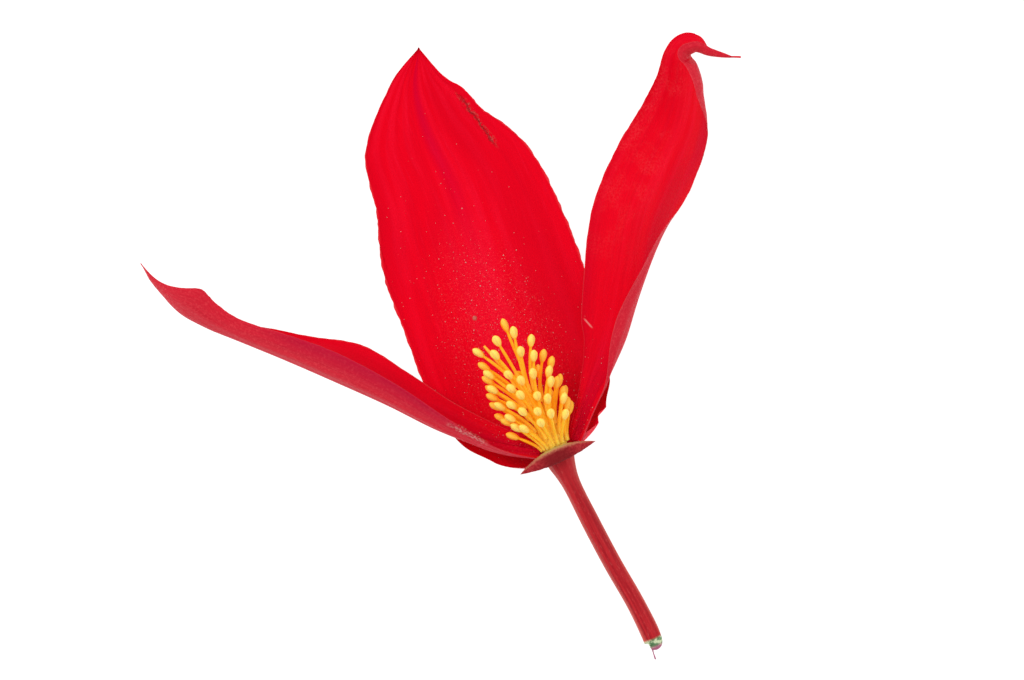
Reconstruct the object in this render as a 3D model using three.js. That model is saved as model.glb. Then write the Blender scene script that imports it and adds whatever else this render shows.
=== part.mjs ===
// A cut male flower of a trailing red begonia, lying on its broad back tepal and its stalk.
// Millimetres. The flower's own axis runs along +Y, away from the cut stalk, +Z is up from the
// surface it lies on, and the origin is the middle of the flower's footprint on that surface.
import * as THREE from 'three';
import { ParametricGeometry } from 'three/addons/geometries/ParametricGeometry.js';

// Driving sizes.
const BACK_TEPAL_LENGTH = 54.2;
const BACK_TEPAL_HALF_WIDTH = 12.8;
const LEFT_TEPAL_LENGTH = 55.5;
const LEFT_TEPAL_HALF_WIDTH = 7.6;
const RIGHT_TEPAL_LENGTH = 52.0;
const RIGHT_TEPAL_HALF_WIDTH = 7.8;
const TEPAL_THICKNESS = 0.5;
const STALK_LENGTH = 26.5;
const TORN_FIBRE_LENGTH = 2.4;
const TORN_FIBRE_RADIUS = 0.1;
const STALK_RADIUS = 1.15;
const COLUMN_LENGTH = 10.9;
const COLUMN_BASE_RADIUS = 1.5;
const COLUMN_TIP_RADIUS = 0.5;
const COLUMN_RISE = 1.2;
const RECEPTACLE_RIM = 0.8;
const RECEPTACLE_RADIUS = COLUMN_BASE_RADIUS + RECEPTACLE_RIM;
const RECEPTACLE_HEIGHT = 6.0;
const RECEPTACLE_TOP = 0.1;
const FILAMENT_RADIUS = 0.2;
const ANTHER_LENGTH = 1.8;
const ANTHER_RADIUS = 0.54;
const STUB_HALF_WIDTH = 5.1;
const STUB_THICKNESS = 0.9;
const JOIN_GAP = 0.15;
const RING_STEP = 22.5;

// How finely the faces are laid out.
const TEPAL_STEPS = 40;
const TEPAL_ROUND = 20;
const STALK_STEPS = 27;
const STALK_ROUND = 12;
const FILAMENT_STEPS = 5;
const ANTHER_STEPS = 6;
const STAMEN_ROUND = 6;
const END_STEP = 1e-3;

const UP = new THREE.Vector3(0, 0, 1);
const { lerp, clamp, degToRad } = THREE.MathUtils;

// A smooth curve through evenly counted stations, each a list of numbers taken three at a time.
function curveThrough(stations, first) {
  const points = stations.map((s) => new THREE.Vector3(s[first], s[first + 1], s[first + 2]));
  return new THREE.CatmullRomCurve3(points, false, 'catmullrom', 0.5);
}

// A closed body swept through rings: ring(along, turn, target) gives a point of the skin, and
// both ends are drawn in to the middle of their rings.
function closedBody(steps, round, ring, middle) {
  const skin = (v, u, target) => {
    const step = Math.round(u * (steps + 2));
    const along = clamp((step - 1) / steps, 0, 1);
    if (step === 0 || step === steps + 2) middle(along, target);
    else ring(along, (Math.round(v * round) % round) / round * 2 * Math.PI, target);
  };
  return new ParametricGeometry(skin, round, steps + 2);
}

// One tepal: a thin blade, rounded at its margins, that follows a spine from base to tip. Each
// station is [x, y, z, half width to the first margin, half width to the second, lean, curl of
// the first half, curl of the second half], with the angles in degrees.
function tepalGeometry(stations) {
  const spine = curveThrough(stations, 0);
  const widths = curveThrough(stations.map((s) => [s[3], s[4], s[5]]), 0);
  const curls = curveThrough(stations.map((s) => [s[6], s[7], 0]), 0);
  const frameAt = (u) => {
    const before = spine.getPoint(Math.max(u - END_STEP, 0));
    const forward = spine.getPoint(Math.min(u + END_STEP, 1)).sub(before).normalize();
    const side = new THREE.Vector3().crossVectors(forward, UP).normalize();
    const rise = new THREE.Vector3().crossVectors(side, forward);
    const lean = degToRad(widths.getPoint(u).z);
    const across = side.clone().multiplyScalar(Math.cos(lean)).addScaledVector(rise, Math.sin(lean));
    const inward = rise.multiplyScalar(Math.cos(lean)).addScaledVector(side, -Math.sin(lean));
    return { across, inward };
  };
  const ring = (u, turn, target) => {
    const place = -Math.cos(turn);
    const { across, inward } = frameAt(u);
    const width = widths.getPoint(u);
    const curl = curls.getPoint(u);
    const half = Math.max(place < 0 ? width.x : width.y, TEPAL_THICKNESS / 2);
    const bend = degToRad(place < 0 ? curl.x : curl.y);
    const angle = bend * place;
    const skin = Math.sin(turn) * TEPAL_THICKNESS / 2 * Math.sqrt(Math.abs(Math.sin(turn)));
    target.copy(spine.getPoint(u));
    target.addScaledVector(across, half / bend * Math.sin(angle) - skin * Math.sin(angle));
    target.addScaledVector(inward, half / bend * (1 - Math.cos(angle)) + skin * Math.cos(angle));
  };
  const middle = (u, target) => target.copy(spine.getPoint(u));
  return closedBody(TEPAL_STEPS, TEPAL_ROUND, ring, middle);
}

// A round stalk or thread along a curve, its radius given as a function of the way along.
function threadGeometry(path, radiusAt, steps, round, reference) {
  const ring = (u, turn, target) => {
    const before = path(Math.max(u - END_STEP, 0));
    const forward = path(Math.min(u + END_STEP, 1)).sub(before).normalize();
    const side = new THREE.Vector3().crossVectors(forward, reference).normalize();
    const rise = new THREE.Vector3().crossVectors(side, forward);
    target.copy(path(u));
    target.addScaledVector(side, -Math.cos(turn) * radiusAt(u));
    target.addScaledVector(rise, Math.sin(turn) * radiusAt(u));
  };
  return closedBody(steps, round, ring, (u, target) => target.copy(path(u)));
}

const flower = new THREE.Group();

function addPiece(name, geometry, color, roughness) {
  const material = new THREE.MeshStandardMaterial({ color, roughness, metalness: 0 });
  const piece = new THREE.Mesh(geometry, material);
  piece.name = name;
  flower.add(piece);
}

// The back outer tepal lies on the surface, face up. It is widest a third of the way out, and
// its base lobes curl up round the receptacle.
function backTepal() {
  const along = (share) => -0.9 + share * BACK_TEPAL_LENGTH;
  const wide = (share) => share * BACK_TEPAL_HALF_WIDTH;
  const under = RECEPTACLE_HEIGHT - RECEPTACLE_RADIUS - TEPAL_THICKNESS / 2 - JOIN_GAP;
  return tepalGeometry([
    [-0.3, along(0), under, wide(0.45), wide(0.57), 0, 66, 54],
    [-0.5, along(0.034), under - 0.9, wide(0.68), wide(0.71), 0, 56, 50],
    [-0.6, along(0.105), 1.1, wide(0.87), wide(0.84), 0, 42, 42],
    [-0.5, along(0.235), 0.5, wide(0.96), wide(0.95), 0, 28, 28],
    [0, along(0.385), 0.3, wide(0.955), wide(0.975), 0, 22, 22],
    [0.8, along(0.53), 0.3, wide(0.965), wide(0.94), 0, 18, 18],
    [1.4, along(0.675), 0.3, wide(0.835), wide(0.85), 0, 16, 16],
    [1.2, along(0.815), 0.5, wide(0.68), wide(0.59), 0, 14, 14],
    [2.0, along(0.92), 0.9, wide(0.29), wide(0.41), 0, 10, 10],
    [4.4, along(1.003), 1.6, 0, 0, 0, 8, 8],
  ]);
}

// The two inner tepals are half the width, and lie on edge as troughs that open towards the
// stamens, each with one margin on the surface.
function leftTepal() {
  const out = (share) => share * LEFT_TEPAL_LENGTH;
  const wide = (share) => share * LEFT_TEPAL_HALF_WIDTH;
  const start = RECEPTACLE_RADIUS + JOIN_GAP;
  const place = (x, y) => [-start - out(x), 0.7 + out(y)];
  return tepalGeometry([
    [...place(0, 0), 6.0, wide(0.2), wide(0.2), -50, 50, 50],
    [...place(0.086, 0.055), 6.7, wide(0.4), wide(0.46), -66, 54, 60],
    [...place(0.178, 0.141), 7.3, wide(0.6), wide(0.68), -80, 66, 76],
    [...place(0.262, 0.241), 7.1, wide(0.78), wide(0.86), -84, 72, 82],
    [...place(0.349, 0.337), 6.1, wide(0.9), wide(1.03), -84, 74, 78],
    [...place(0.435, 0.429), 5.2, wide(0.8), wide(0.8), -86, 70, 62],
    [...place(0.516, 0.513), 5.2, wide(0.66), wide(0.45), -92, 60, 78],
    [...place(0.566, 0.566), 5.4, wide(0.72), wide(0.4), -100, 54, 60],
    [...place(0.606, 0.622), 5.8, wide(0.84), wide(0.26), -104, 48, 30],
    [...place(0.63, 0.69), 6.2, wide(0.34), wide(0.12), -100, 30, 25],
    [...place(0.642, 0.753), 6.6, 0, 0, -100, 10, 10],
  ]);
}

function rightTepal() {
  const out = (share) => share * RIGHT_TEPAL_LENGTH;
  const wide = (share) => share * RIGHT_TEPAL_HALF_WIDTH;
  const start = RECEPTACLE_RADIUS + JOIN_GAP;
  const place = (x, y) => [start + out(x), 1.1 + out(y)];
  return tepalGeometry([
    [...place(-0.003, -0.017), 6.0, wide(0.15), wide(0.13), 35, 50, 50],
    [...place(0.08, 0.07), 6.3, wide(0.26), wide(0.22), 35, 40, 42],
    [...place(0.15, 0.13), 6.6, wide(0.52), wide(0.46), 48, 40, 92],
    [...place(0.205, 0.19), 6.7, wide(0.76), wide(0.78), 52, 40, 98],
    [...place(0.277, 0.294), 6.1, wide(0.85), wide(0.97), 46, 32, 72],
    [...place(0.358, 0.408), 4.5, wide(0.91), wide(1.07), 40, 24, 46],
    [...place(0.446, 0.497), 3.6, wide(0.87), wide(1.02), 35, 20, 42],
    [...place(0.529, 0.578), 3.9, wide(0.74), wide(1.02), 35, 20, 52],
    [...place(0.582, 0.655), 4.8, wide(0.55), wide(0.98), 38, 24, 86],
    [...place(0.612, 0.722), 5.8, wide(0.37), wide(0.66), 40, 26, 106],
    [...place(0.639, 0.728), 6.5, wide(0.26), wide(0.4), 40, 24, 120],
    [...place(0.663, 0.704), 6.6, wide(0.08), wide(0.22), 44, 30, 140],
    [...place(0.695, 0.681), 6.4, wide(0.03), wide(0.1), 50, 20, 140],
    [...place(0.73, 0.6635), 6.3, 0, 0, 60, 10, 10],
  ]);
}

// The stub of the front outer tepal, cut away close to its base: a crescent lip round the front
// of the receptacle, with the cut face slanting towards the stamens.
function frontStub() {
  const rise = RECEPTACLE_RADIUS + JOIN_GAP;
  const at = (u) => 2 * u - 1;
  const centre = (u, target) => {
    const across = at(u);
    const high = RECEPTACLE_HEIGHT + rise * Math.sqrt(1 - 0.62 * across * across) + STUB_THICKNESS / 2;
    return target.set(-0.6 + STUB_HALF_WIDTH * across, -0.15 - 0.4 * across * across, high);
  };
  const ring = (u, turn, target) => {
    const fullness = Math.max(1 - at(u) ** 2, 0.05);
    centre(u, target);
    target.y -= Math.cos(turn) * fullness;
    target.z -= Math.sin(turn) * STUB_THICKNESS / 2 * fullness;
  };
  return closedBody(TEPAL_ROUND, STALK_ROUND, ring, centre);
}

// The stalk rises from the surface at its torn end, where one thin fibre trails from it, and
// swells into the receptacle that carries the tepals and the column.
function stalk() {
  const cut = -0.3 - STALK_LENGTH;
  const along = (share) => cut + share * STALK_LENGTH;
  const high = (share) => STALK_RADIUS + share * (RECEPTACLE_HEIGHT - STALK_RADIUS);
  const low = TORN_FIBRE_RADIUS;
  const stations = [
    [0.3, cut - TORN_FIBRE_LENGTH, low, low],
    [0.45, cut - 0.5 * TORN_FIBRE_LENGTH, low, low],
    [0.8, cut - 0.25, 0.7 * STALK_RADIUS, 0.5 * STALK_RADIUS],
    [1.1, cut + 0.3, STALK_RADIUS, STALK_RADIUS],
    [0.9, along(0.2), STALK_RADIUS, STALK_RADIUS],
    [0.3, along(0.42), high(0.12), STALK_RADIUS],
    [-0.1, along(0.64), high(0.38), STALK_RADIUS],
    [-0.35, along(0.84), high(0.78), STALK_RADIUS],
    [-0.4, along(0.95), high(0.96), lerp(STALK_RADIUS, RECEPTACLE_RADIUS, 0.45)],
    [-0.3, RECEPTACLE_TOP, RECEPTACLE_HEIGHT, RECEPTACLE_RADIUS],
  ];
  const path = curveThrough(stations, 0);
  const radii = curveThrough(stations.map((s) => [s[3], 0, 0]), 0);
  const radiusAt = (u) => radii.getPoint(u).x;
  return threadGeometry((u) => path.getPoint(u), radiusAt, STALK_STEPS, STALK_ROUND, UP);
}

// The column of joined filaments stands on the receptacle and leans a little to the left.
const columnFoot = RECEPTACLE_TOP + JOIN_GAP + COLUMN_BASE_RADIUS * COLUMN_RISE / COLUMN_LENGTH;

function columnCentre(along) {
  const share = (along - columnFoot) / COLUMN_LENGTH;
  return new THREE.Vector3(-0.3 - 0.6 * share, along, RECEPTACLE_HEIGHT + COLUMN_RISE * share);
}

function columnRadius(along) {
  const share = clamp((along - columnFoot) / COLUMN_LENGTH, 0, 1);
  return lerp(COLUMN_BASE_RADIUS, COLUMN_TIP_RADIUS, share);
}

function column() {
  const along = (u) => columnFoot + u * COLUMN_LENGTH;
  const radiusAt = (u) => columnRadius(along(u)) * Math.sqrt(1 - Math.max(0, (u - 0.95) / 0.06) ** 2);
  return threadGeometry((u) => columnCentre(along(u)), radiusAt, STALK_STEPS, STALK_ROUND, UP);
}

// A stamen: a bare filament that leaves the column and arches outward, and the anther on its end.
function stamenGeometry(anther, reach, root, azimuth, hasAnther) {
  const turn = degToRad(azimuth);
  const outward = new THREE.Vector3(Math.cos(turn), 0, Math.sin(turn));
  const beside = columnRadius(root) + FILAMENT_RADIUS + JOIN_GAP;
  const bendAt = lerp(root, anther, BEND_SHARE);
  const start = columnCentre(root).addScaledVector(outward, beside);
  const bend = columnCentre(bendAt).addScaledVector(outward, beside);
  const end = columnCentre(anther).addScaledVector(outward, reach);
  const filament = new THREE.QuadraticBezierCurve3(start, bend, end);
  const onward = end.clone().sub(bend).normalize();
  const steps = FILAMENT_STEPS + (hasAnther ? ANTHER_STEPS : 0);
  const antherShare = (u) => Math.max(0, (u * steps - FILAMENT_STEPS) / ANTHER_STEPS);
  const path = (u) => {
    const threadShare = Math.min(u * steps / FILAMENT_STEPS, 1);
    return filament.getPoint(threadShare).addScaledVector(onward, antherShare(u) * ANTHER_LENGTH);
  };
  const radiusAt = (u) => {
    const plump = Math.sin(Math.PI * Math.min(antherShare(u), 1) ** 1.4) ** 0.6;
    return FILAMENT_RADIUS + (ANTHER_RADIUS - FILAMENT_RADIUS) * plump;
  };
  const reference = new THREE.Vector3().crossVectors(outward, new THREE.Vector3(0, 1, 0));
  return threadGeometry(path, radiusAt, steps, STAMEN_ROUND, reference);
}

// Tiers of stamens up the column: how far the anthers stand past those of the tier below beyond an
// anther's width, how far they reach beyond the column's foot, where their filaments leave the
// column, and the places in the ring that are taken.
const ANTHER_WIDTH = 2 * ANTHER_RADIUS;
const TIERS = [
  { above: 2.92, reach: 2.0, root: 0.8, turn: 6, places: [0, 1, 2, 3, 4, 5, 6, 7, 11, 13] },
  { above: 0.62, reach: 2.2, root: 2.0, turn: -1, places: [0, 1, 2, 3, 4, 5, 6, 7, 8, 10, 14] },
  { above: 0.72, reach: 2.3, root: 3.3, turn: 10, places: [0, 1, 2, 3, 4, 5, 6, 7, 9] },
  { above: 0.82, reach: 2.1, root: 4.9, turn: -1, places: [1, 2, 3, 4, 5, 6, 7, 8, 14] },
  { above: 0.72, reach: 1.9, root: 6.5, turn: 10, places: [1, 2, 4, 6, 7, 9] },
  { above: 0.82, reach: 1.7, root: 8.1, turn: -1, places: [2, 3, 5, 7] },
  { above: 0.72, reach: 1.3, root: 9.5, turn: 10, places: [2, 4, 6] },
];
const TOP_STAMEN = { above: 1.3, reach: 1.3, root: 10.6, turn: 20 };
const BROKEN_STAMEN = { above: 0.9, reach: 2.2, root: 9.4, turn: 170 };
const FRONT_DEPTH = 0.2;

// Where between its root and its anther a filament bends outward.
const BEND_SHARE = 0.32;

// How unevenly the stamens of a tier grow: degrees round it, millimetres along, share of reach.
const UNEVEN_TURN = 4;
const UNEVEN_ALONG = 0.45;
const UNEVEN_REACH = 0.08;

function addStamens() {
  let count = 0;
  const add = (anther, reach, root, azimuth, hasAnther) => {
    count += 1;
    const name = `stamen_${String(count).padStart(2, '0')}`;
    const color = azimuth > 35 && azimuth < 150 ? 0xf7d774 : 0xf0a21c;
    addPiece(name, stamenGeometry(anther, reach, root, azimuth, hasAnther), color, 0.5);
  };
  let level = 0;
  for (const tier of TIERS) {
    level += ANTHER_WIDTH + tier.above;
    for (const place of tier.places) {
      const next = count + 1;
      const azimuth = tier.turn + place * RING_STEP + UNEVEN_TURN * Math.sin(next * 2.3);
      const anther = level + UNEVEN_ALONG * Math.sin(next * 3.7);
      const deeper = 1 + FRONT_DEPTH * Math.sin(degToRad(azimuth)) + UNEVEN_REACH * Math.sin(next * 5.1);
      add(anther, (COLUMN_BASE_RADIUS + tier.reach) * deeper, tier.root, azimuth, true);
    }
  }
  add(level + TOP_STAMEN.above, TOP_STAMEN.reach, TOP_STAMEN.root, TOP_STAMEN.turn, true);
  add(level + BROKEN_STAMEN.above, BROKEN_STAMEN.reach, BROKEN_STAMEN.root, BROKEN_STAMEN.turn, false);
}

addPiece('pedicel', stalk(), 0xa01f2d, 0.45);
addPiece('outer_tepal_back', backTepal(), 0xe0001c, 0.5);
addPiece('outer_tepal_front_stub', frontStub(), 0xb8323c, 0.5);
addPiece('inner_tepal_left', leftTepal(), 0xc9202f, 0.5);
addPiece('inner_tepal_right', rightTepal(), 0xd81024, 0.5);
addPiece('staminal_column', column(), 0xe3b52a, 0.5);
addStamens();

// The whole flower is set down on the surface with its footprint centred on the origin.
flower.updateMatrixWorld(true);
const box = new THREE.Box3().setFromObject(flower, true);
const footprint = box.getCenter(new THREE.Vector3());
flower.position.set(-footprint.x, -footprint.y, -box.min.z);
flower.updateMatrixWorld(true);

export default flower;
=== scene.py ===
import math

import bmesh
import bpy
import numpy as np
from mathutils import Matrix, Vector


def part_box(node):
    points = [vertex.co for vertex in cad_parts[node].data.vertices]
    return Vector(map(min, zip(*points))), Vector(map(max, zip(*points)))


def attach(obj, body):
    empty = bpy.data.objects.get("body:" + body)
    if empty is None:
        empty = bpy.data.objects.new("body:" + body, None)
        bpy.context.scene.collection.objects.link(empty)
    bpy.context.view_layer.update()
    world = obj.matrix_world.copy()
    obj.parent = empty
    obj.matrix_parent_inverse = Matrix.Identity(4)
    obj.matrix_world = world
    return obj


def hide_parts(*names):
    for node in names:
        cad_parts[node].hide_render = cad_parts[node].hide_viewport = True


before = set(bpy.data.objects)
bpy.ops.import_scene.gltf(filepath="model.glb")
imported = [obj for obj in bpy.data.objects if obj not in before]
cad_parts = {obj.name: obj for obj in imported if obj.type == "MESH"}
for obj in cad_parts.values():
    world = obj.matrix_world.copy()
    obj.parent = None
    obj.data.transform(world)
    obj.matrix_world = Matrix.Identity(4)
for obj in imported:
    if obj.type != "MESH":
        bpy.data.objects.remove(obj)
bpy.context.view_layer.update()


# ---------------------------------------------------------------------------------------------
# The back outer tepal. The broadest petal of the flower, grown as one thin blade: it lies face
# up on the surface, its base lobes curl up round the receptacle, and its inner face is a velvety
# saturated red with veins that fan out from the base.

MM = 0.001
BACK_LENGTH = 54.2
BACK_WIDTH = 12.8
TEPAL_THICKNESS = 0.5
RECEPTACLE_RADIUS = 2.3
RECEPTACLE_HEIGHT = 6.0
JOIN_GAP = 0.15
BESIDE_RECEPTACLE = RECEPTACLE_RADIUS + JOIN_GAP

# The stub stands a little to the left of the flower's axis, and the fibre that trails from the
# torn stalk is the rearmost point. These two fix where the flower's own zero lies in the frame.
STUB_MIDDLE = -0.6
STALK_CUT = -26.8
TORN_FIBRE_LENGTH = 2.4
stub_low, stub_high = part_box("outer_tepal_front_stub")
stalk_low, stalk_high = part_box("pedicel")
ZERO = Vector((
    (stub_low.x + stub_high.x) / 2 - STUB_MIDDLE * MM,
    stalk_low.y - (STALK_CUT - TORN_FIBRE_LENGTH) * MM,
    stalk_low.z,
))


def through(stations, share):
    """A smooth curve through evenly counted stations, at shares of its length from 0 to 1."""
    points = np.asarray(stations, float)
    spans = len(points) - 1
    place = np.clip(share, 0, 1) * spans
    span = np.minimum(place.astype(int), spans - 1)
    part = (place - span)[:, None]
    ends = np.vstack([2 * points[0] - points[1], points, 2 * points[-1] - points[-2]])
    before, start, end, after = (ends[span + step] for step in range(4))
    leave = (end - before) / 2
    arrive = (after - start) / 2
    cubic = 2 * start - 2 * end + leave + arrive
    square = 3 * end - 3 * start - 2 * leave - arrive
    return ((cubic * part + square) * part + leave) * part + start


def unit(vectors):
    """The same directions, each of length 1."""
    return vectors / np.linalg.norm(vectors, axis=1)[:, None]


def wave(place, *pairs):
    """A gentle ripple: the sum of sines given as (how many over the length, how high)."""
    return sum(high * np.sin(2 * np.pi * count * place + 2.4 * count) for count, high in pairs)


def bell(place, centre, width):
    """A smooth hump of height 1."""
    return np.exp(-((place - centre) / width) ** 2)


REST_HEIGHT = 0.01


def rolled_body(name, along_steps, around_steps, skin, material, flat_ends=False):
    """A flat grid rolled into a closed body and drawn in at both ends. skin(along, turn) gives
    its points in the flower's millimetres, and the named marks that its material reads. Where it
    would sink below the ground it lies flat on it."""
    bm = bmesh.new()
    bmesh.ops.create_grid(bm, x_segments=around_steps, y_segments=along_steps, size=1)
    flat = np.array([v.co for v in bm.verts])
    along = (flat[:, 1] + 1) / 2
    turn = (flat[:, 0] + 1) * math.pi
    points, marks = skin(along, turn)
    points[:, 2] = np.maximum(points[:, 2], REST_HEIGHT)
    layers = [bm.verts.layers.float.new(mark) for mark in marks]
    for index, vertex in enumerate(bm.verts):
        vertex.co = ZERO + Vector(points[index]) * MM
        for layer, values in zip(layers, marks.values()):
            vertex[layer] = values[index]
    for end in (0, 1):
        ring = [v for v, place in zip(bm.verts, along) if abs(place - end) < 1e-6]
        middle = sum((v.co for v in ring), Vector()) / len(ring)
        bmesh.ops.pointmerge(bm, verts=ring, merge_co=middle)
    bmesh.ops.remove_doubles(bm, verts=bm.verts, dist=1e-4 * MM)
    bmesh.ops.recalc_face_normals(bm, faces=bm.faces)
    for face in bm.faces:
        face.smooth = not (flat_ends and any(len(v.link_faces) > 6 for v in face.verts))
    mesh = bpy.data.meshes.new(name)
    bm.to_mesh(mesh)
    bm.free()
    mesh.materials.append(material)
    piece = bpy.data.objects.new(name, mesh)
    bpy.context.scene.collection.objects.link(piece)
    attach(piece, "root")
    return piece


def blade(stations, ripple=None, margin=None):
    """The skin of a tepal. A station is [x, y, z, half width to the first margin, half width to
    the second, lean, curl of the first half, curl of the second half], angles in degrees."""
    table = np.array(stations, float)

    def skin(along, turn):
        step = 1e-3
        spine = through(table[:, :3], along)
        forward = unit(through(table[:, :3], along + step) - through(table[:, :3], along - step))
        side = unit(np.cross(forward, [0, 0, 1]))
        rise = np.cross(side, forward)
        shape = through(table[:, 3:], along)
        lean = np.radians(shape[:, 2])[:, None]
        across = side * np.cos(lean) + rise * np.sin(lean)
        inward = rise * np.cos(lean) - side * np.sin(lean)
        place = -np.cos(turn)
        first = place < 0
        half = np.where(first, shape[:, 0], shape[:, 1])
        half = half * (1 + (margin(along, place) if margin else 0))
        half = np.maximum(half, TEPAL_THICKNESS / 4)
        bend = np.radians(np.where(first, shape[:, 3], shape[:, 4]))
        angle = bend * place
        body = np.sin(turn) * np.sqrt(np.abs(np.sin(turn))) * TEPAL_THICKNESS / 2
        # A tepal thins out where it narrows to its tip.
        lift = body * np.clip(half / 1.5, 0.25, 1)
        if ripple:
            lift = lift + ripple(along, place, half)
        points = spine
        points = points + across * (half / bend * np.sin(angle) - lift * np.sin(angle))[:, None]
        points = points + inward * (half / bend * (1 - np.cos(angle)) + lift * np.cos(angle))[:, None]
        return points, {"along": along, "across": place, "face": np.sin(turn), "wide": half * place}

    return skin


class Value:
    """One value in a material's nodes, on which arithmetic can be written."""

    def __init__(self, finish, socket):
        self.finish = finish
        self.socket = socket

    def math(self, operation, *others):
        return self.finish.node("ShaderNodeMath", {"operation": operation}, [self, *others])

    def __add__(self, other):
        return self.math("ADD", other)

    def __radd__(self, other):
        return self.math("ADD", other)

    def __sub__(self, other):
        return self.math("SUBTRACT", other)

    def __rsub__(self, other):
        return self.finish.node("ShaderNodeMath", {"operation": "SUBTRACT"}, [other, self])

    def __mul__(self, other):
        return self.math("MULTIPLY", other)

    def __rmul__(self, other):
        return self.math("MULTIPLY", other)

    def __truediv__(self, other):
        return self.math("DIVIDE", other)

    def __abs__(self):
        return self.math("ABSOLUTE")


class Finish:
    """A material that is built up in its nodes. It starts as a plain Principled surface."""

    def __init__(self, name, **constants):
        self.material = bpy.data.materials.new(name)
        self.material.use_nodes = True
        self.tree = self.material.node_tree
        self.surface = self.tree.nodes["Principled BSDF"]
        for socket, value in constants.items():
            self.surface.inputs[socket.replace("_", " ")].default_value = value

    def join(self, value, socket):
        if isinstance(value, Value):
            self.tree.links.new(value.socket, socket)
        elif isinstance(value, tuple) and len(value) == 3 and socket.type == "RGBA":
            socket.default_value = (*value, 1)
        else:
            socket.default_value = value

    def node(self, kind, settings, inputs, output=0):
        made = self.tree.nodes.new(kind)
        for name, setting in settings.items():
            setattr(made, name, setting)
        pairs = inputs.items() if isinstance(inputs, dict) else enumerate(inputs)
        for socket, value in pairs:
            self.join(value, made.inputs[socket])
        return Value(self, made.outputs[output])

    def mark(self, name):
        return self.node("ShaderNodeAttribute", {"attribute_name": name}, {}, "Fac")

    def place(self):
        """Where a point is, in the flower's millimetres."""
        raw = self.node("ShaderNodeTexCoord", {}, {}, "Object")
        moved = self.node("ShaderNodeVectorMath", {"operation": "SUBTRACT"}, [raw, tuple(ZERO)])
        scale = {"operation": "SCALE"}
        return self.node("ShaderNodeVectorMath", scale, {"Vector": moved, "Scale": 1 / MM})

    def apart(self, vector):
        return [self.node("ShaderNodeSeparateXYZ", {}, [vector], axis) for axis in range(3)]

    def distance(self, first, second):
        return self.node("ShaderNodeVectorMath", {"operation": "DISTANCE"}, [first, second], 1)

    def together(self, x, y, z):
        return self.node("ShaderNodeCombineXYZ", {}, [x, y, z])

    def noise(self, vector, scale, detail=2, roughness=0.5):
        inputs = {"Vector": vector, "Scale": scale, "Detail": detail, "Roughness": roughness}
        return self.node("ShaderNodeTexNoise", {}, inputs)

    def ramp(self, value, low, high, start=0, end=1):
        settings = {"interpolation_type": "SMOOTHSTEP"}
        return self.node("ShaderNodeMapRange", settings, [value, low, high, start, end])

    def blend(self, share, first, second, mode="MIX"):
        settings = {"data_type": "RGBA", "blend_type": mode}
        return self.node("ShaderNodeMix", settings, {0: share, 6: first, 7: second}, 2)

    def dots(self, place, scale, size, share):
        """Scattered round dots: share is how many of the cells hold one."""
        spread = {"Vector": place, "Scale": scale}
        near = self.node("ShaderNodeTexVoronoi", {}, spread, "Distance")
        chance = self.apart(self.node("ShaderNodeTexVoronoi", {}, spread, "Color"))
        taken = self.ramp(chance[0] + share, 1.0, 1.02)
        return self.ramp(near, size * (0.5 + chance[1]), size * 0.3) * taken

    def bump(self, height, distance, strength=1.0):
        inputs = {"Height": height, "Distance": distance * MM, "Strength": strength}
        return self.node("ShaderNodeBump", {}, inputs)

    def feed(self, socket, value):
        self.join(value, self.surface.inputs[socket])


INNER_RED = (0.74, 0.000, 0.010)
INNER_DEEP = (0.58, 0.000, 0.010)
INNER_LIGHT = (0.84, 0.006, 0.032)
OUTER_ROSE = (0.64, 0.016, 0.034)
OUTER_DEEP = (0.54, 0.009, 0.024)
OUTER_LIGHT = (0.74, 0.044, 0.060)
PALE_MARGIN_AND_RIM_LIGHT = (0.72, 0.085, 0.10)
POLLEN_PINK = (1.0, 0.52, 0.48)
SHADE_CRIMSON = (0.34, 0.0, 0.022)


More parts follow.
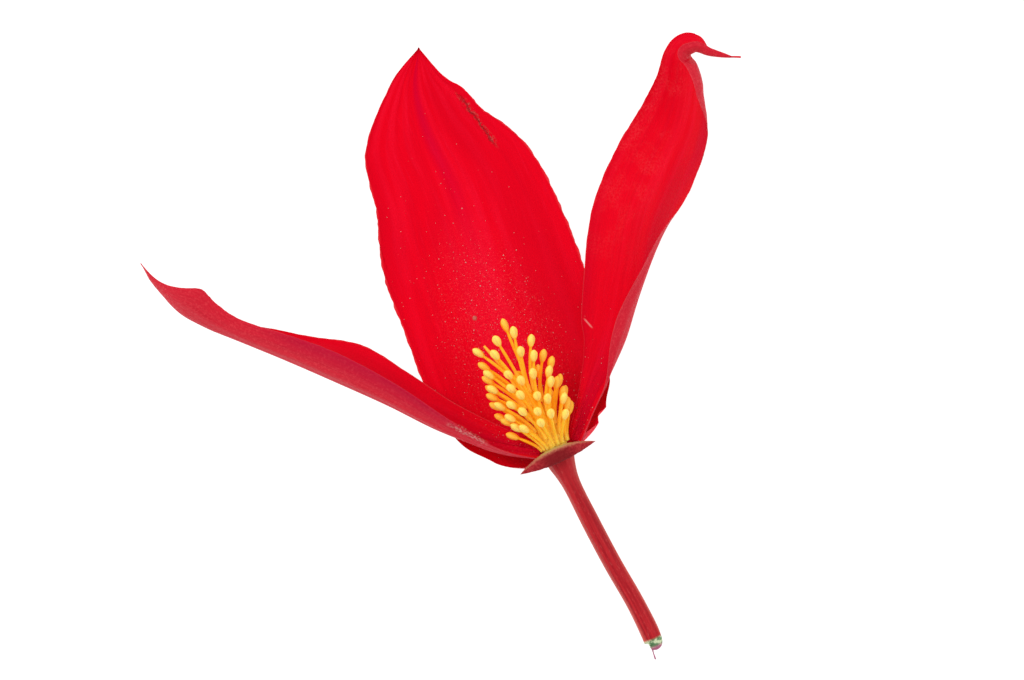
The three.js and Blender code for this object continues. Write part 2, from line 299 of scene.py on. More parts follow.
def petal(name, add_marks=None, deepen=0.0):
    """The finish of a tepal: velvety red inside, dull rose outside, fine veins along it."""
    f = Finish(name, Roughness=0.55, Specular_IOR_Level=0.14, Specular_Tint=(1.0, 0.12, 0.2, 1.0))
    along, across, face, wide = (f.mark(m) for m in ("along", "across", "face", "wide"))
    inside = f.ramp(face, -0.12, 0.12)
    rim = 1 - f.ramp(abs(face), 0.02, 0.24)
    lanes = f.together(across * 9, along * 2.2, inside * 7)
    veins = f.noise(lanes, 2.2, 3, 0.55)
    fine = f.noise(f.together(wide * 2.6, along * 9, inside * 3), 1.6, 3, 0.6)
    place = f.place()
    cells = f.noise(place, 5.5, 2, 0.6)
    broad = f.noise(f.together(across * 1.3, along * 2.4, inside * 5), 1.5, 2, 0.5)
    sheen = f.noise(f.together(across * 4, along * 2.0, inside * 5 + 2), 1.4, 2, 0.5)
    inner = f.blend(f.ramp(veins, 0.42, 0.72) * 0.35, INNER_RED, INNER_DEEP)
    inner = f.blend(f.ramp(fine, 0.52, 0.78) * 0.3, inner, INNER_LIGHT)
    # A painted sheen lightens soft patches of the inner face.
    inner = f.blend(f.ramp(sheen, 0.45, 0.7) * (0.25 + f.ramp(cells, 0.45, 0.7) * 0.4), inner, INNER_LIGHT)
    inner = f.blend(f.ramp(broad, 0.4, 0.65) * 0.4 + deepen, inner, INNER_DEEP)
    # Painted shade darkens the inner face at the base, where the tepals close round the receptacle.
    base = (1 - f.ramp(along, 0.02, 0.3)) * (1 - f.ramp(abs(across), 0.3, 0.85))
    inner = f.blend(base * 0.45, inner, SHADE_CRIMSON)
    outer = f.blend(f.ramp(veins, 0.4, 0.7) * 0.6, OUTER_ROSE, OUTER_DEEP)
    grains = f.noise(place, 3.0, 3, 0.7)
    outer = f.blend(f.ramp(grains, 0.48, 0.68) * 0.6, outer, OUTER_LIGHT)
    color = f.blend(inside, outer, inner)
    # The thin edge of the blade is paler pink, partly its own pale margin and partly painted rim light.
    color = f.blend(rim * 0.55, color, PALE_MARGIN_AND_RIM_LIGHT)
    height = veins * 0.3 + fine * 0.3 + cells * 0.25
    if add_marks:
        color, height = add_marks(f, color, height, place, inside, along, across)
    f.feed("Base Color", color)
    f.feed("Roughness", 0.5 + f.ramp(cells, 0.3, 0.7) * 0.15)
    f.feed("Normal", f.bump(height, 0.16, 0.7))
    return f.material


def pollen_dust(f, color, height, place, inside, x, y):
    """Loose pollen that has fallen round the stamens, thinning out along the tepal."""
    off = (x + 1.0) / 7
    far = (y - 13) / 16
    reach = 1 - f.ramp((off * off + far * far).math("SQRT"), 0.1, 2.4)
    near = f.ramp(reach, 0.45, 0.95)
    dust = f.dots(place, 1.7, 0.15, reach * 0.16 + near * 0.24)
    dust = dust + f.dots(place, 3.4, 0.2, reach * 0.14 + near * 0.4)
    dust = dust * inside
    film = f.ramp(f.noise(place, 5.5, 3, 0.75), 0.52, 0.66) * near * inside
    color = f.blend(film * 0.45, color, (0.92, 0.06, 0.07))
    return f.blend(dust * 0.75, color, POLLEN_PINK), height + dust * 1.4


def back_marks(f, color, height, place, inside, along, across):
    x, y, _ = f.apart(place)
    # A violet streak down the middle of the outer half.
    streak = (1 - f.ramp(abs(across + 0.02), 0.0, 0.14)) * f.ramp(along, 0.45, 0.85) * inside
    color = f.blend(streak * 0.6, color, (0.54, 0.0, 0.028))
    # A lighter middle, a darker band beside it, and painted light that brightens the shaded base lobe on
    # the right.
    middle = (1 - f.ramp(abs(across + 0.08), 0.1, 0.4)) * (1 - f.ramp(along, 0.5, 0.7)) * inside
    color = f.blend(middle * 0.3, color, (0.80, 0.006, 0.034))
    third = f.ramp(across, 0.2, 0.5) * (1 - f.ramp(across, 0.75, 0.95)) * (1 - f.ramp(along, 0.55, 0.75))
    color = f.blend(third * inside * 0.45, color, (0.60, 0.0, 0.009))
    lobe = (1 - f.ramp(along, 0.08, 0.16)) * f.ramp(across, 0.25, 0.55)
    color = f.blend(lobe * 0.85, color, (0.98, 0.002, 0.030))
    # A scuffed crease near the tip.
    wander = f.noise(place, 0.9, 3) - 0.5
    beside = x + (y - 42.5) * 0.215 - 7.3 + wander
    length = f.ramp(y, 37.6, 39.6) * (1 - f.ramp(y, 44.6, 47.2)) * inside
    crease = (1 - f.ramp(abs(beside), 0.03, 0.16)) * length
    flaky = f.ramp(f.noise(place, 2.6, 3, 0.7), 0.48, 0.6)
    scuffed = (1 - f.ramp(abs(beside - 0.15), 0.1, 0.5)) * length * flaky
    color = f.blend(scuffed * 0.6, color, (0.42, 0.10, 0.085))
    color = f.blend(crease * 0.65, color, (0.32, 0.015, 0.02))
    height = height - crease * 1.6 + scuffed * 0.5
    # A dry scab beyond the stamens.
    scab = (1 - f.ramp(f.distance(place, (-3.05, 19.5, 0.6)), 0.18, 0.42)) * inside
    color = f.blend(scab * 0.8, color, (0.45, 0.17, 0.12))
    height = height + scab * 1.2
    return pollen_dust(f, color, height, place, inside, x, y)


def back_ripple(along, place, half):
    """Folds along the blade, the sunk midrib, a crease near the tip and wavy margins."""
    folds = wave(place, (2.5, 0.05), (4.3, 0.04)) * np.clip(along * 3, 0, 1)
    midrib = -0.12 * bell(place, 0, 0.05) * (1 - along)
    crease = -0.16 * bell(place, 0.72 - 0.25 * (along - 0.8), 0.03) * bell(along, 0.82, 0.07)
    swell = wave(along, (1.6, 0.10), (3.1, 0.05)) * place ** 2
    return folds + midrib + crease + swell


def frayed(along, place):
    """The fine unevenness of a margin, none at the base."""
    nicks = wave(along + place, (21, 0.004), (37, 0.003), (63, 0.0025))
    return nicks * np.clip(along * 4 - 0.8, 0, 1)


def along_back(share):
    return -0.9 + share * BACK_LENGTH


UNDER_RECEPTACLE = RECEPTACLE_HEIGHT - BESIDE_RECEPTACLE - TEPAL_THICKNESS / 2

back_stations = [
    [-0.3, along_back(0), UNDER_RECEPTACLE, 0.45 * BACK_WIDTH, 0.57 * BACK_WIDTH, 0, 66, 54],
    [-0.5, along_back(0.034), UNDER_RECEPTACLE - 0.9, 0.68 * BACK_WIDTH, 0.71 * BACK_WIDTH, 0, 56, 50],
    [-0.6, along_back(0.105), 1.1, 0.87 * BACK_WIDTH, 0.84 * BACK_WIDTH, 0, 42, 42],
    [-0.5, along_back(0.235), 0.5, 0.96 * BACK_WIDTH, 0.95 * BACK_WIDTH, 0, 28, 28],
    [0, along_back(0.385), 0.3, 0.955 * BACK_WIDTH, 0.975 * BACK_WIDTH, 0, 22, 22],
    [0.8, along_back(0.53), 0.3, 0.965 * BACK_WIDTH, 0.94 * BACK_WIDTH, 0, 18, 18],
    [1.4, along_back(0.675), 0.3, 0.835 * BACK_WIDTH, 0.85 * BACK_WIDTH, 0, 16, 16],
    [1.2, along_back(0.815), 0.5, 0.68 * BACK_WIDTH, 0.59 * BACK_WIDTH, 0, 14, 14],
    [2.0, along_back(0.92), 0.9, 0.29 * BACK_WIDTH, 0.41 * BACK_WIDTH, 0, 10, 10],
    [4.4, along_back(1.003), 1.6, 0, 0, 0, 8, 8],
]
back_tepal = rolled_body(
    "back_outer_tepal", 260, 150, blade(back_stations, back_ripple, frayed),
    petal("back_tepal_skin", back_marks))
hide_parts("outer_tepal_back")


# ---------------------------------------------------------------------------------------------
# The left inner tepal. Half as wide as the back one, it lies on edge as a trough: from above its
# dull outer face shows along the belly, and its bright inner face beyond the near margin.

LEFT_LENGTH = 55.5
LEFT_WIDTH = 7.6


def left_station(x, y, z, first, second, lean, curl, far_curl):
    return [
        -BESIDE_RECEPTACLE - x * LEFT_LENGTH, 0.7 + y * LEFT_LENGTH, z,
        first * LEFT_WIDTH, second * LEFT_WIDTH, lean, curl, far_curl,
    ]


left_stations = [
    left_station(0, 0, 6.0, 0.2, 0.2, -50, 50, 50),
    left_station(0.086, 0.055, 6.7, 0.4, 0.46, -66, 54, 60),
    left_station(0.178, 0.141, 7.3, 0.6, 0.68, -80, 66, 76),
    left_station(0.262, 0.241, 7.1, 0.78, 0.86, -84, 72, 82),
    left_station(0.349, 0.337, 6.1, 0.9, 1.03, -84, 74, 78),
    left_station(0.435, 0.429, 5.2, 0.8, 0.8, -86, 70, 62),
    left_station(0.516, 0.513, 5.2, 0.66, 0.45, -92, 60, 78),
    left_station(0.566, 0.566, 5.4, 0.72, 0.4, -100, 54, 60),
    left_station(0.606, 0.622, 5.8, 0.84, 0.26, -104, 48, 30),
    left_station(0.63, 0.69, 6.2, 0.34, 0.12, -100, 30, 25),
    left_station(0.642, 0.753, 6.6, 0, 0, -100, 10, 10),
]


def left_ripple(along, place, half):
    return wave(place, (2.2, 0.06), (3.7, 0.05)) * (1 - along) + wave(along, (3.3, 0.06)) * place


def left_marks(f, color, height, place, inside, along, across):
    x, y, _ = f.apart(place)
    outside = 1 - inside
    # A frosted crease runs across the outer face towards the receptacle.
    wander = f.noise(place, 0.8, 3) - 0.5
    beside = (x + 9.6) * 0.78 + (y - 6.8) * 0.63 + wander * 0.8
    onward = (x + 9.6) * 0.63 - (y - 6.8) * 0.78
    length = 1 - f.ramp(abs(onward), 1.9, 3.1)
    frost = (1 - f.ramp(abs(beside), 0.05, 0.4)) * length * f.ramp(f.noise(place, 3.4, 3, 0.7), 0.42, 0.58)
    color = f.blend(frost * 0.65, color, (0.86, 0.40, 0.36))
    # Painted shade darkens the belly below, and painted shade darkens a furrow along the inner face.
    shadow = (1 - f.ramp(across, -1.0, -0.5)) * f.ramp(along, 0.12, 0.25) * (1 - f.ramp(along, 0.45, 0.6))
    color = f.blend(shadow * outside * 0.6, color, (0.40, 0.002, 0.034))
    low = 1 - f.ramp(along, 0.25, 0.55)
    furrow = (1 - f.ramp(abs(across - 0.35), 0.02, 0.16)) * low * inside
    color = f.blend(furrow * 0.3, color, (0.44, 0.0, 0.02))
    # A painted highlight makes the outer face brightest where it turns up to the light.
    bright = 1 - f.ramp(f.distance(place, (-30.3, 22.2, 3.0)), 0.6, 2.8)
    color = f.blend(bright * outside * 0.5, color, (0.98, 0.05, 0.07))
    height = height + frost * 0.9 - furrow * 0.8
    return pollen_dust(f, color, height, place, inside, x, y)


left_tepal = rolled_body(
    "left_inner_tepal", 260, 110, blade(left_stations, left_ripple, frayed),
    petal("left_tepal_skin", left_marks, 0.35))
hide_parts("inner_tepal_left")


# ---------------------------------------------------------------------------------------------
# The right inner tepal. It opens wider towards the light, so most of its bright inner face
# shows; the front margin rolls in near the base, and the tip folds over into a narrow beak.

RIGHT_LENGTH = 52.0
RIGHT_WIDTH = 7.8


def right_station(x, y, z, first, second, lean, curl, far_curl):
    return [
        BESIDE_RECEPTACLE + x * RIGHT_LENGTH, 1.1 + y * RIGHT_LENGTH, z,
        first * RIGHT_WIDTH, second * RIGHT_WIDTH, lean, curl, far_curl,
    ]


right_stations = [
    right_station(-0.003, -0.017, 6.0, 0.15, 0.13, 35, 50, 50),
    right_station(0.080, 0.070, 6.3, 0.26, 0.22, 35, 40, 42),
    right_station(0.150, 0.130, 6.6, 0.52, 0.46, 48, 40, 92),
    right_station(0.205, 0.190, 6.7, 0.76, 0.78, 52, 40, 98),
    right_station(0.277, 0.294, 6.1, 0.85, 0.97, 46, 32, 72),
    right_station(0.358, 0.408, 4.5, 0.91, 1.07, 40, 24, 46),
    right_station(0.446, 0.497, 3.6, 0.87, 1.02, 35, 20, 42),
    right_station(0.529, 0.578, 3.9, 0.74, 1.02, 35, 20, 52),
    right_station(0.582, 0.655, 4.8, 0.55, 0.98, 38, 24, 86),
    right_station(0.612, 0.722, 5.8, 0.37, 0.66, 40, 26, 106),
    right_station(0.639, 0.728, 6.5, 0.26, 0.4, 40, 24, 120),
    right_station(0.663, 0.704, 6.6, 0.08, 0.22, 44, 30, 140),
    right_station(0.695, 0.681, 6.4, 0.03, 0.1, 50, 20, 140),
    right_station(0.73, 0.6635, 6.3, 0, 0, 60, 10, 10),
]


def right_ripple(along, place, half):
    return wave(place, (2.4, 0.06), (4.1, 0.04)) * (1 - along) + wave(along, (2.7, 0.08)) * place


def right_marks(f, color, height, place, inside, along, across):
    x, y, _ = f.apart(place)
    # Painted shade darkens the lower half, most of all in the pocket under the rolled margin.
    low = 1 - f.ramp(along, 0.3, 0.6)
    shaded = (1 - f.ramp(across, -0.95, -0.65)) * low * inside
    color = f.blend(shaded * 0.4, color, (0.46, 0.0, 0.012))
    pocket = f.ramp(across, 0.1, 0.4) * (1 - f.ramp(across, 0.6, 0.85)) * f.ramp(along, 0.08, 0.2) * low
    color = f.blend(pocket * inside * 0.45, color, (0.42, 0.0, 0.016))
    # Dusty patches lie along the middle of the outer half.
    patchy = f.ramp(f.noise(place, 0.35, 2), 0.4, 0.65) * f.ramp(f.noise(place, 4.0, 3, 0.7), 0.4, 0.7)
    dusty = patchy * (1 - f.ramp(across, -0.3, 0.3)) * f.ramp(along, 0.25, 0.5)
    color = f.blend(dusty * inside * 0.4, color, (0.82, 0.05, 0.06))
    # The front margin is darker, and the lobe by the tip brighter.
    band = f.ramp(across, 0.45, 0.75) * f.ramp(along, 0.4, 0.55) * (1 - f.ramp(along, 0.8, 0.9)) * inside
    color = f.blend(band * 0.6, color, (0.52, 0.0, 0.022))
    lobe = f.ramp(along, 0.8, 0.9) * (1 - f.ramp(across, -0.2, 0.3)) * inside
    color = f.blend(lobe * 0.6, color, (0.86, 0.03, 0.05))
    far = f.ramp(along, 0.62, 0.85) * inside
    color = f.blend(far * 0.4, color, (0.60, 0.0, 0.018))
    # A short pale scratch.
    beside = (x - 9.7) + (y - 13.1) * 0.3
    scratch = (1 - f.ramp(abs(beside), 0.04, 0.16)) * (1 - f.ramp(abs(y - 13.1), 0.4, 0.9)) * inside
    color = f.blend(scratch * 0.6, color, (0.75, 0.30, 0.28))
    return pollen_dust(f, color, height, place, inside, x, y)


right_tepal = rolled_body(
    "right_inner_tepal", 260, 110, blade(right_stations, right_ripple, frayed),
    petal("right_tepal_skin", right_marks))
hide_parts("inner_tepal_right")


# ---------------------------------------------------------------------------------------------
# The stub of the front outer tepal, cut away with a blade close to its base: a crescent lip with
# a moist orange-pink cut face over dark purple-red skin.

STUB_HALF_WIDTH = 5.1
STUB_THICKNESS = 0.9


def stub_skin(along, turn):
    at = 2 * along - 1
    full = np.maximum(1 - at ** 2, 0.03)
    rough = wave(along, (7, 0.02), (13, 0.015), (23, 0.01)) * full
    centre = np.stack([
        STUB_MIDDLE + STUB_HALF_WIDTH * at,
        -0.15 - 0.4 * at ** 2,
        RECEPTACLE_HEIGHT + BESIDE_RECEPTACLE * np.sqrt(1 - 0.62 * at ** 2) + STUB_THICKNESS / 2,
    ], 1)
    centre[:, 1] -= np.cos(turn) * (full + rough)
    centre[:, 2] -= np.sin(turn) * full * STUB_THICKNESS / 2
    return centre, {"cut": -np.cos(turn)}


def cut_flesh():
    f = Finish("stub_flesh", Roughness=0.5, Specular_IOR_Level=0.12, Specular_Tint=(1.0, 0.3, 0.3, 1.0))
    place = f.place()
    grain = f.noise(place, 4.0, 3, 0.6)
    speck = f.noise(place, 7.0, 2, 0.6)
    x, _, _ = f.apart(place)
    cut = f.mark("cut")
    edge = f.ramp(cut + (grain - 0.5) * 0.4, 0.3, 0.75)
    middle = 1 - f.ramp(abs(x - STUB_MIDDLE), 0.8, 3.2)
    skin = f.blend(f.ramp(grain, 0.35, 0.7), (0.30, 0.010, 0.018), (0.44, 0.035, 0.038))
    skin = f.blend(middle * 0.75, skin, (0.15, 0.007, 0.009))
    flesh = f.blend(f.ramp(speck, 0.3, 0.7), (0.36, 0.08, 0.05), (0.50, 0.16, 0.10))
    flesh = f.blend(middle * f.ramp(cut, 0.6, 0.95), flesh, (0.46, 0.34, 0.09))
    f.feed("Base Color", f.blend(edge, skin, flesh))
    f.feed("Normal", f.bump(grain + speck * 0.5, 0.12, 0.7))
    return f.material


stub = rolled_body("front_tepal_stub", 90, 36, stub_skin, cut_flesh())
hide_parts("outer_tepal_front_stub")


# ---------------------------------------------------------------------------------------------
# The stalk. It swells into the receptacle that carries the tepals, and it was torn off: the end
# is ragged and green inside, and one thin fibre trails from it.

STALK_LENGTH = 26.5
STALK_RADIUS = 1.15
TORN_FIBRE_RADIUS = 0.1
RECEPTACLE_TOP = 0.1
SWELLING = 0.45


def along_stalk(share):
    return STALK_CUT + share * STALK_LENGTH


def stalk_height(share):
    return STALK_RADIUS + share * (RECEPTACLE_HEIGHT - STALK_RADIUS)


def stalk_swollen(share):
    return STALK_RADIUS + share * (RECEPTACLE_RADIUS - STALK_RADIUS)


# A station of the stalk is [x, y, z, radius].
stalk_stations = [
    [0.3, STALK_CUT - TORN_FIBRE_LENGTH, TORN_FIBRE_RADIUS, TORN_FIBRE_RADIUS],
    [0.45, STALK_CUT - 0.5 * TORN_FIBRE_LENGTH, TORN_FIBRE_RADIUS, TORN_FIBRE_RADIUS],
    [0.8, STALK_CUT - 0.25, 0.7 * STALK_RADIUS, 0.5 * STALK_RADIUS],
    [1.1, STALK_CUT + 0.3, STALK_RADIUS, STALK_RADIUS],
    [0.9, along_stalk(0.2), STALK_RADIUS, STALK_RADIUS],
    [0.3, along_stalk(0.42), stalk_height(0.12), STALK_RADIUS],
    [-0.1, along_stalk(0.64), stalk_height(0.38), STALK_RADIUS],
    [-0.35, along_stalk(0.84), stalk_height(0.78), STALK_RADIUS],
    [-0.4, along_stalk(0.95), stalk_height(0.96), stalk_swollen(SWELLING)],
    [-0.3, RECEPTACLE_TOP, RECEPTACLE_HEIGHT, RECEPTACLE_RADIUS],
]


def thread(centre, radius, along, turn, reference=(0, 0, 1)):
    """The points of a round thread, and their directions outward. The centre is a function of the
    share along it, and the radius of that share and of the turn round it."""
    step = 1e-3
    forward = unit(centre(np.clip(along + step, 0, 1)) - centre(np.clip(along - step, 0, 1)))
    side = unit(np.cross(forward, reference))
    rise = np.cross(side, forward)
    out = -side * np.cos(turn)[:, None] + rise * np.sin(turn)[:, None]
    return centre(along) + out * radius(along, turn)[:, None], out


def stalk_skin(along, turn):
    table = np.array(stalk_stations)

    def centre(share):
        return through(table[:, :3], share)

    def radius(share, turn):
        ridges = 0.02 * np.sin(7 * turn + 1.3) + 0.012 * np.sin(13 * turn + 4 * share)
        torn = bell(share, 0.3, 0.05) * (0.10 * np.sin(3 * turn + 1) + 0.06 * np.sin(8 * turn))
        size = through(table[:, 3:], share)[:, 0]
        return size * (1 + np.where(share > 0.28, ridges, 0) + torn)

    points, out = thread(centre, radius, along, turn)
    return points, {"side": -np.cos(turn), "over": np.sin(turn)}


def stalk_finish():
    f = Finish("stalk_skin", Roughness=0.42, Specular_IOR_Level=0.18, Specular_Tint=(1.0, 0.3, 0.3, 1.0))
    side, over = (f.mark(m) for m in ("side", "over"))
    place = f.place()
    _, y, _ = f.apart(place)
    # Crimson with long streaks and pale flecks, and a painted highlight that makes it paler down both
    # sides.
    lanes = f.together(side * 1.7, y * 0.05, over * 1.7)
    streaks = f.noise(lanes, 1.8, 2, 0.5)
    flecks = f.noise(f.together(side * 3.5, y * 0.7, over * 3.5), 2.2, 3, 0.6)
    color = f.blend(f.ramp(streaks, 0.3, 0.7), (0.33, 0.009, 0.016), (0.50, 0.020, 0.026))
    color = f.blend(f.ramp(flecks, 0.55, 0.75) * 0.45, color, (0.58, 0.09, 0.085))
    color = f.blend(f.ramp(abs(side), 0.62, 1.0) * 0.55, color, (0.68, 0.11, 0.075))
    # The torn end is green and white, and its fibre purple.
    green = 1 - f.ramp(y, STALK_CUT + 0.1, STALK_CUT + 0.55)
    torn = f.blend(f.ramp(f.noise(place, 1.6, 3), 0.4, 0.6), (0.10, 0.22, 0.10), (0.62, 0.72, 0.45))
    color = f.blend(green, color, torn)
    fibre = 1 - f.ramp(y, STALK_CUT - 0.9, STALK_CUT - 0.4)
    color = f.blend(fibre, color, (0.45, 0.12, 0.22))
    # The disc that the column stands on is pale.
    color = f.blend(f.ramp(y, -0.25, 0.05), color, (0.80, 0.42, 0.10))
    f.feed("Base Color", color)
    f.feed("Normal", f.bump(streaks + flecks * 0.4, 0.09, 0.7))
    return f.material


stalk = rolled_body("stalk", 300, 48, stalk_skin, stalk_finish(), flat_ends=True)
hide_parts("pedicel")


# ---------------------------------------------------------------------------------------------
# The column: the lower ends of all the filaments, grown together into one tapering, faintly
# fluted pillar that stands on the receptacle.

# A painted glow: the stamens give off a little light in their own colour, standing in for light that
# passes through their clear flesh to the shaded side.
PAINTED_GLOW = 0.11

COLUMN_LENGTH = 10.9
COLUMN_BASE_RADIUS = 1.5
COLUMN_TIP_RADIUS = 0.5
COLUMN_RISE = 1.2
COLUMN_FOOT = RECEPTACLE_TOP + JOIN_GAP + COLUMN_BASE_RADIUS * COLUMN_RISE / COLUMN_LENGTH


def column_centre(along):
    share = (np.asarray(along, float) - COLUMN_FOOT) / COLUMN_LENGTH
    return np.stack([-0.3 - 0.6 * share, along, RECEPTACLE_HEIGHT + COLUMN_RISE * share], -1)


def column_radius(along):
    share = np.clip((np.asarray(along, float) - COLUMN_FOOT) / COLUMN_LENGTH, 0, 1)
    return COLUMN_BASE_RADIUS + (COLUMN_TIP_RADIUS - COLUMN_BASE_RADIUS) * share


def column_skin(along, turn):
    def centre(share):
        return column_centre(COLUMN_FOOT + share * COLUMN_LENGTH)

    def radius(share, turn):
        taper = np.sqrt(np.maximum(1 - np.maximum(0, (share - 0.95) / 0.05) ** 2, 0.01))
        flutes = 1 + 0.05 * np.sin(16 * turn) * (1 - share)
        return column_radius(COLUMN_FOOT + share * COLUMN_LENGTH) * taper * flutes

    points, out = thread(centre, radius, along, turn)
    return points, {"along": along}


def clear_glowing_flesh(name, roughness, colored_depth, depth):
    """The start of a finish for flesh that light passes into, red deepest, and that gives off a painted
    glow.
    """
    return Finish(
        name, Roughness=roughness, Specular_IOR_Level=0.2, Emission_Strength=PAINTED_GLOW,
        Subsurface_Weight=0.2, Subsurface_Radius=colored_depth, Subsurface_Scale=depth * MM)


def filament_finish():
    f = clear_glowing_flesh("filament_flesh", 0.42, (0.6, 0.3, 0.08), 0.4)
    along = f.mark("along")
    place = f.place()
    grain = f.noise(place, 1.1, 3, 0.6)
    color = f.blend(f.ramp(along, 0.0, 0.45), (0.84, 0.64, 0.08), (0.97, 0.50, 0.01))
    color = f.blend(f.ramp(grain, 0.4, 0.7) * 0.4, color, (0.92, 0.38, 0.01))
    f.feed("Base Color", color)
    # Painted glow in the filament's own colour.
    f.feed("Emission Color", color)
    f.feed("Normal", f.bump(f.noise(place, 3.0, 2), 0.08, 0.6))
    return f.material


column = rolled_body("column", 60, 96, column_skin, filament_finish())
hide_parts("staminal_column")


# ---------------------------------------------------------------------------------------------
# The stamens. Each is one organ: a bare waxy filament that leaves the column and arches outward,
# and a plump anther on its end with a groove down its face where the pollen comes out.

FILAMENT_RADIUS = 0.2
ANTHER_LENGTH = 1.8
ANTHER_RADIUS = 0.54
BEND_SHARE = 0.32
RING_STEP = 22.5
FRONT_DEPTH = 0.2

# How unevenly the stamens of a tier grow: degrees round it, millimetres along, share of reach.
UNEVEN_TURN = 4
UNEVEN_ALONG = 0.45
UNEVEN_REACH = 0.08

# How far along a stamen its anther begins, and the share of its rings that lie before that.
STEM_SHARE = 0.62
STEM_RINGS = 0.45

# Tiers of stamens up the column: where the anthers stand along the axis, how far they reach from
# it, where their filaments leave the column, how far the tier is turned, and the places taken.
TIERS = [
    (4.0, 3.5, 0.8, 6, (0, 1, 2, 3, 4, 5, 6, 7, 11, 13)),
    (5.7, 3.7, 2.0, -1, (0, 1, 2, 3, 4, 5, 6, 7, 8, 10, 14)),
    (7.5, 3.8, 3.3, 10, (0, 1, 2, 3, 4, 5, 6, 7, 9)),
    (9.4, 3.6, 4.9, -1, (1, 2, 3, 4, 5, 6, 7, 8, 14)),
    (11.2, 3.4, 6.5, 10, (1, 2, 4, 6, 7, 9)),
    (13.1, 3.2, 8.1, -1, (2, 3, 5, 7)),
    (14.9, 2.8, 9.5, 10, (2, 4, 6)),
]


def anther_finish(name, face, flank, thread_color):
    f = clear_glowing_flesh(name, 0.45, (0.6, 0.35, 0.1), 0.35)
    along, slit, front = (f.mark(m) for m in ("along", "slit", "front"))
    place = f.place()
    grain = f.noise(place, 2.2, 3, 0.6)
    root = 1 - f.ramp(along, 0.0, 0.4)
    stem = f.blend(root * 0.8, thread_color, (0.97, 0.70, 0.09))
    head = f.ramp(along, 0.62, 0.72)
    # The face is pale with pollen, and a painted highlight makes it paler where it turns up to the light.
    pale = f.ramp(front + (grain - 0.5) * 0.5, -0.1, 0.55)
    color = f.blend(head, stem, f.blend(pale, flank, face))
    color = f.blend(f.ramp(grain, 0.45, 0.75) * 0.25, color, flank)
    color = f.blend(slit * head * 0.4, color, (0.60, 0.40, 0.10))
    f.feed("Base Color", color)
    # Painted glow in the anther's own colour.
    f.feed("Emission Color", color)
    f.feed("Normal", f.bump(f.noise(place, 4.5, 2), 0.07, 0.6))
    return f.material


# Lit and shaded copies of one anther finish, which is painted light: the paler one for stamens that point
# up to the light, the deeper gold one for the rest.
lit_pale_anther = anther_finish("lit_pale_anther", (0.98, 0.68, 0.13), (0.96, 0.42, 0.01), (0.96, 0.50, 0.02))
shaded_gold_anther = anther_finish("shaded_gold_anther", (0.96, 0.50, 0.05), (0.94, 0.32, 0.003), (0.94, 0.42, 0.01))


def stamen(name, anther, reach, root, azimuth, has_anther):
    turned = math.radians(azimuth)
    outward = np.array([math.cos(turned), 0, math.sin(turned)])
    beside = column_radius(root) + FILAMENT_RADIUS + JOIN_GAP
    bend_at = root + BEND_SHARE * (anther - root)
    start = column_centre(root) + outward * beside
    bend = column_centre(bend_at) + outward * beside
    end = column_centre(anther) + outward * reach
    onward = (end - bend) / np.linalg.norm(end - bend)
    stem_share = STEM_SHARE if has_anther else 1.0
    anther_length = ANTHER_LENGTH if has_anther else 0

    def past_stem(share):
        return np.clip((share - stem_share) / (1.0001 - stem_share), 0, 1)

    def centre(share):
        part = np.clip(share / stem_share, 0, 1)[:, None]
        curve = (1 - part) ** 2 * start + 2 * part * (1 - part) * bend + part ** 2 * end
        return curve + onward * past_stem(share)[:, None] * anther_length

    def radius(share, turn):
        beyond = past_stem(share)
        plump = np.sin(np.pi * beyond ** 1.4) ** 0.6
        lobes = 1 - 0.2 * bell(np.cos(turn), -1, 0.1) * plump
        flat = 1 - 0.2 * np.abs(np.cos(turn)) * plump
        neck = FILAMENT_RADIUS * (1 - 0.25 * bell(share, stem_share, 0.05))
        tip = np.sqrt(np.maximum(1 - beyond ** 6, 0.02))
        return (neck + (ANTHER_RADIUS - FILAMENT_RADIUS) * plump * lobes * flat) * tip

    def skin(along, turn):
        share = along
        if has_anther:
            share = np.interp(along, [0, STEM_RINGS, 1], [0, STEM_SHARE, 1])
        points, out = thread(centre, radius, share, turn, np.cross(outward, [0, 1, 0]))
        # The pale face: outward and towards the tip for the pollen, and upward for a painted highlight.
        seen = out @ outward * 0.6 + out[:, 2] * 0.5 + (share - 0.75) * 1.5
        groove = bell(np.cos(turn), -1, 0.05)
        return points, {"along": share, "slit": groove, "front": seen}

    # Stamens that point up to the light get the lit copy, the rest the shaded one.
    material = lit_pale_anther if 35 < azimuth < 150 else shaded_gold_anther
    piece = rolled_body("organ_" + name, 34, 16, skin, material)
    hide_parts(name)


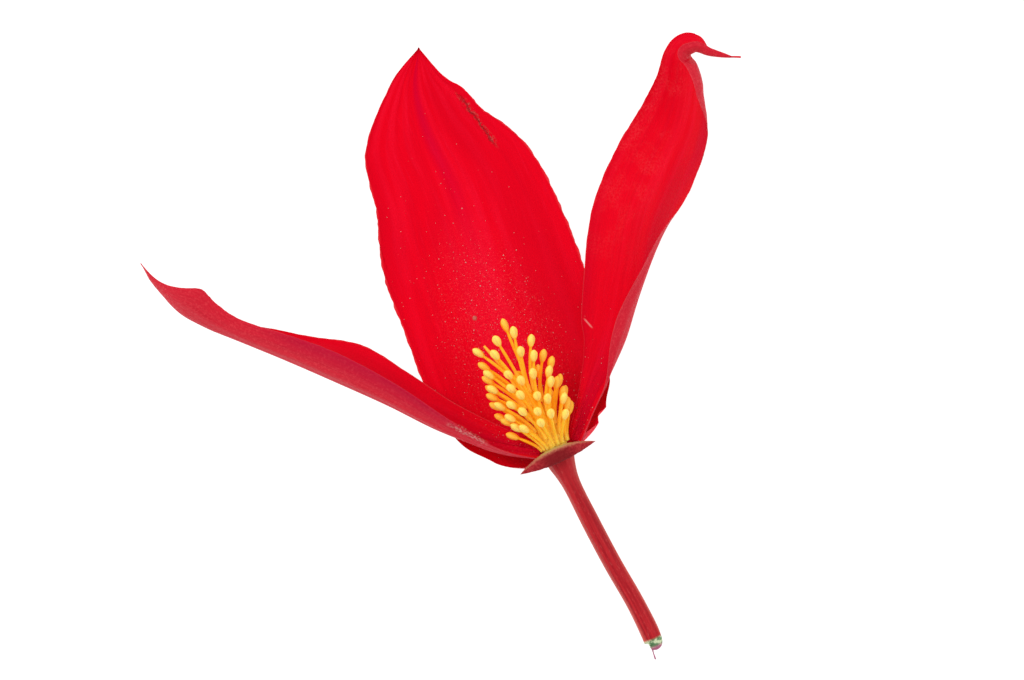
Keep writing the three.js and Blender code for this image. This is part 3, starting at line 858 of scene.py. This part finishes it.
count = 0
for anther, reach, root, turned, places in TIERS:
    for place in places:
        count += 1
        azimuth = turned + place * RING_STEP + UNEVEN_TURN * math.sin(count * 2.3)
        onward = anther + UNEVEN_ALONG * math.sin(count * 3.7)
        deeper = 1 + FRONT_DEPTH * math.sin(math.radians(azimuth)) + UNEVEN_REACH * math.sin(count * 5.1)
        stamen(f"stamen_{count:02d}", onward, reach * deeper, root, azimuth, True)
stamen(f"stamen_{count + 1:02d}", 16.2, 1.3, 10.6, 20, True)
stamen(f"stamen_{count + 2:02d}", 15.8, 2.2, 9.4, 170, False)


# ---------------------------------------------------------------------------------------------
# The table, the light and the camera. A plain white surface under soft overhead light, seen
# from straight above with the flower turned a little to the left.

VIEW_TURN = math.radians(-24)
VIEW_DISTANCE = 355.6
VIEW_CENTRE = Vector((0.15, 15.06, 4.0))


def studio():
    bm = bmesh.new()
    bmesh.ops.create_grid(bm, x_segments=1, y_segments=1, size=1.5)
    bmesh.ops.translate(bm, verts=bm.verts, vec=(0, 0, -0.05 * MM))
    mesh = bpy.data.meshes.new("table")
    bm.to_mesh(mesh)
    bm.free()
    white = Finish("table_white", Roughness=0.9, Specular_IOR_Level=0.0, Emission_Strength=0.93)
    white.feed("Base Color", (0.25, 0.25, 0.25))
    white.feed("Emission Color", (1.0, 1.0, 1.0))
    mesh.materials.append(white.material)
    table = bpy.data.objects.new("table", mesh)
    bpy.context.scene.collection.objects.link(table)

    world = bpy.data.worlds.new("soft_room")
    world.use_nodes = True
    world.node_tree.nodes["Background"].inputs["Color"].default_value = (1, 1, 1, 1)
    world.node_tree.nodes["Background"].inputs["Strength"].default_value = 0.62
    bpy.context.scene.world = world

    for name, place, size, power in (
        ("key", (-0.25, 0.35, 0.6), 0.35, 2.6),
        ("fill", (0.45, -0.1, 0.5), 0.5, 1.2),
    ):
        light = bpy.data.lights.new(name, "AREA")
        light.size = size
        light.energy = power
        lamp = bpy.data.objects.new(name, light)
        lamp.location = place
        lamp.rotation_euler = (-Vector(place)).to_track_quat("-Z", "Y").to_euler()
        bpy.context.scene.collection.objects.link(lamp)

    lens = bpy.data.cameras.new("camera")
    lens.lens = 100
    lens.sensor_width = 36
    lens.clip_start = 0.01
    camera = bpy.data.objects.new("camera", lens)
    camera.location = ZERO + (VIEW_CENTRE + Vector((0, 0, VIEW_DISTANCE))) * MM
    camera.rotation_euler = (0, 0, VIEW_TURN)
    bpy.context.scene.collection.objects.link(camera)
    bpy.context.scene.camera = camera
    bpy.context.scene.view_settings.view_transform = "Standard"


studio()
